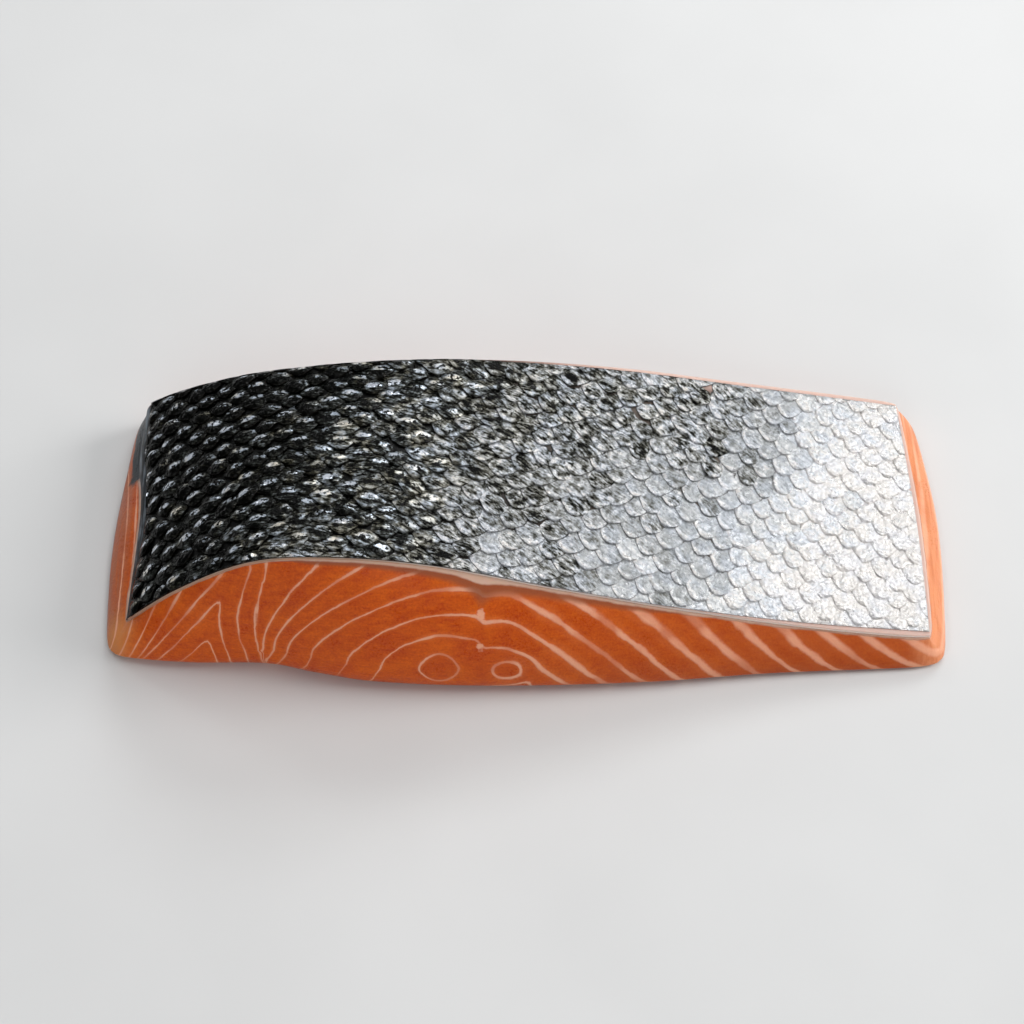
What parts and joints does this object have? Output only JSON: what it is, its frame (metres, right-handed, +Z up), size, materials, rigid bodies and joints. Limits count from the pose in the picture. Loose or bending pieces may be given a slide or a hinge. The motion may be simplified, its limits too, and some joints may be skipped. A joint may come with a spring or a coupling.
{
  "type": "raw salmon fillet",
  "caption": "Portion of raw fish fillet lying skin side up: a wedge of orange flesh cut across the fish, thick at the back and thin at the belly, with its scaly skin on.",
  "frame": {"origin": "middle of the footprint, on the surface that the fillet lies on", "axes": "+X from the back of the fish to its belly, along the longest side; +Y along the fish, away from the taller cut face; +Z up, out of the skin side"},
  "size_m": [0.142, 0.0582, 0.0258],
  "materials": {
    "flesh": "wet raw orange flesh with thin pale lines of fat between its flakes",
    "skin": "wet scaly skin, black over the back of the fish and silver to white over its belly"
  },
  "bodies": {
    "root": {"flesh": "flesh", "skin": "skin"}
  },
  "joints": []
}
